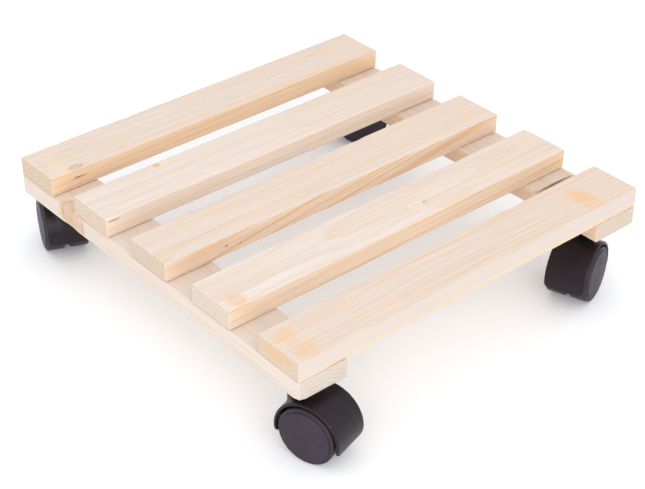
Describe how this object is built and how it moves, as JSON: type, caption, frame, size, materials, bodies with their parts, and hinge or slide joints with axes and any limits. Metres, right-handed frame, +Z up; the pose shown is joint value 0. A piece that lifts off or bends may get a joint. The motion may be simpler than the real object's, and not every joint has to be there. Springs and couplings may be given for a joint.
{
  "type": "plant pot caddy",
  "caption": "Square slatted softwood caddy on hooded twin-wheel swivel casters, for standing and rolling a heavy plant pot.",
  "frame": {"origin": "on the floor, under the middle of the slatted platform", "axes": "+Z up; +X along the slats, towards the right bearer; +Y across the slats, from slat_5 towards slat_1"},
  "size_m": [0.3228, 0.3456, 0.079],
  "materials": {
    "slat_pine": "unfinished planed pine, satin",
    "bearer_pine": "unfinished planed pine, satin",
    "hood_plastic": "black moulded nylon, fine grain",
    "wheel_plastic": "charcoal moulded nylon, slightly dusty",
    "caster_steel": "zinc-plated",
    "staple_wire": "drawn wire, dull"
  },
  "bodies": {
    "root": {"slat_1": "slat_pine", "slat_2": "slat_pine", "slat_3": "slat_pine", "slat_4": "slat_pine", "slat_5": "slat_pine", "bearer_left": "bearer_pine", "bearer_right": "bearer_pine", "staple_01": "staple_wire", "staple_02": "staple_wire", "staple_03": "staple_wire", "staple_04": "staple_wire", "staple_05": "staple_wire", "staple_06": "staple_wire", "staple_07": "staple_wire", "staple_08": "staple_wire", "staple_09": "staple_wire", "staple_10": "staple_wire", "staple_11": "staple_wire", "staple_12": "staple_wire", "staple_13": "staple_wire", "staple_14": "staple_wire", "staple_15": "staple_wire", "staple_16": "staple_wire", "staple_17": "staple_wire", "staple_18": "staple_wire", "staple_19": "staple_wire", "staple_20": "staple_wire", "caster_front_left_socket": "caster_steel", "caster_front_right_socket": "caster_steel", "caster_back_left_socket": "caster_steel", "caster_back_right_socket": "caster_steel"},
    "caster_front_left": {"caster_front_left_hood": "hood_plastic", "caster_front_left_stem": "caster_steel", "caster_front_left_snap_ring": "caster_steel", "caster_front_left_axle": "caster_steel"},
    "caster_front_left_wheel_left": {"caster_front_left_wheel_left": "wheel_plastic"},
    "caster_front_left_wheel_right": {"caster_front_left_wheel_right": "wheel_plastic"},
    "caster_front_right": {"caster_front_right_hood": "hood_plastic", "caster_front_right_stem": "caster_steel", "caster_front_right_snap_ring": "caster_steel", "caster_front_right_axle": "caster_steel"},
    "caster_front_right_wheel_left": {"caster_front_right_wheel_left": "wheel_plastic"},
    "caster_front_right_wheel_right": {"caster_front_right_wheel_right": "wheel_plastic"},
    "caster_back_left": {"caster_back_left_hood": "hood_plastic", "caster_back_left_stem": "caster_steel", "caster_back_left_snap_ring": "caster_steel", "caster_back_left_axle": "caster_steel"},
    "caster_back_left_wheel_left": {"caster_back_left_wheel_left": "wheel_plastic"},
    "caster_back_left_wheel_right": {"caster_back_left_wheel_right": "wheel_plastic"},
    "caster_back_right": {"caster_back_right_hood": "hood_plastic", "caster_back_right_stem": "caster_steel", "caster_back_right_snap_ring": "caster_steel", "caster_back_right_axle": "caster_steel"},
    "caster_back_right_wheel_left": {"caster_back_right_wheel_left": "wheel_plastic"},
    "caster_back_right_wheel_right": {"caster_back_right_wheel_right": "wheel_plastic"}
  },
  "joints": [
    {"name": "caster_front_left_swivel", "type": "hinge", "parent": "root", "child": "caster_front_left", "pos_m": [-0.1345, -0.1325, 0.045], "axis": [0, 0, 1], "continuous": true},
    {"name": "caster_front_left_roll_left", "type": "hinge", "parent": "caster_front_left", "child": "caster_front_left_wheel_left", "pos_m": [-0.13024, -0.14688, 0.02], "axis": [0.9588, 0.284, 0], "continuous": true},
    {"name": "caster_front_left_roll_right", "type": "hinge", "parent": "caster_front_left", "child": "caster_front_left_wheel_right", "pos_m": [-0.13024, -0.14688, 0.02], "axis": [0.9588, 0.284, 0], "continuous": true},
    {"name": "caster_front_right_swivel", "type": "hinge", "parent": "root", "child": "caster_front_right", "pos_m": [0.128, -0.1312, 0.045], "axis": [0, 0, 1], "continuous": true},
    {"name": "caster_front_right_roll_left", "type": "hinge", "parent": "caster_front_right", "child": "caster_front_right_wheel_left", "pos_m": [0.11395, -0.13645, 0.02], "axis": [0.3502, -0.9367, 0], "continuous": true},
    {"name": "caster_front_right_roll_right", "type": "hinge", "parent": "caster_front_right", "child": "caster_front_right_wheel_right", "pos_m": [0.11395, -0.13645, 0.02], "axis": [0.3502, -0.9367, 0], "continuous": true},
    {"name": "caster_back_left_swivel", "type": "hinge", "parent": "root", "child": "caster_back_left", "pos_m": [-0.1319, 0.1306, 0.045], "axis": [0, 0, 1], "continuous": true},
    {"name": "caster_back_left_roll_left", "type": "hinge", "parent": "caster_back_left", "child": "caster_back_left_wheel_left", "pos_m": [-0.12631, 0.14452, 0.02], "axis": [-0.9278, 0.373, 0], "continuous": true},
    {"name": "caster_back_left_roll_right", "type": "hinge", "parent": "caster_back_left", "child": "caster_back_left_wheel_right", "pos_m": [-0.12631, 0.14452, 0.02], "axis": [-0.9278, 0.373, 0], "continuous": true},
    {"name": "caster_back_right_swivel", "type": "hinge", "parent": "root", "child": "caster_back_right", "pos_m": [0.131, 0.132, 0.045], "axis": [0, 0, 1], "continuous": true},
    {"name": "caster_back_right_roll_left", "type": "hinge", "parent": "caster_back_right", "child": "caster_back_right_wheel_left", "pos_m": [0.14399, 0.1245, 0.02], "axis": [0.5, 0.866, 0], "continuous": true},
    {"name": "caster_back_right_roll_right", "type": "hinge", "parent": "caster_back_right", "child": "caster_back_right_wheel_right", "pos_m": [0.14399, 0.1245, 0.02], "axis": [0.5, 0.866, 0], "continuous": true}
  ]
}
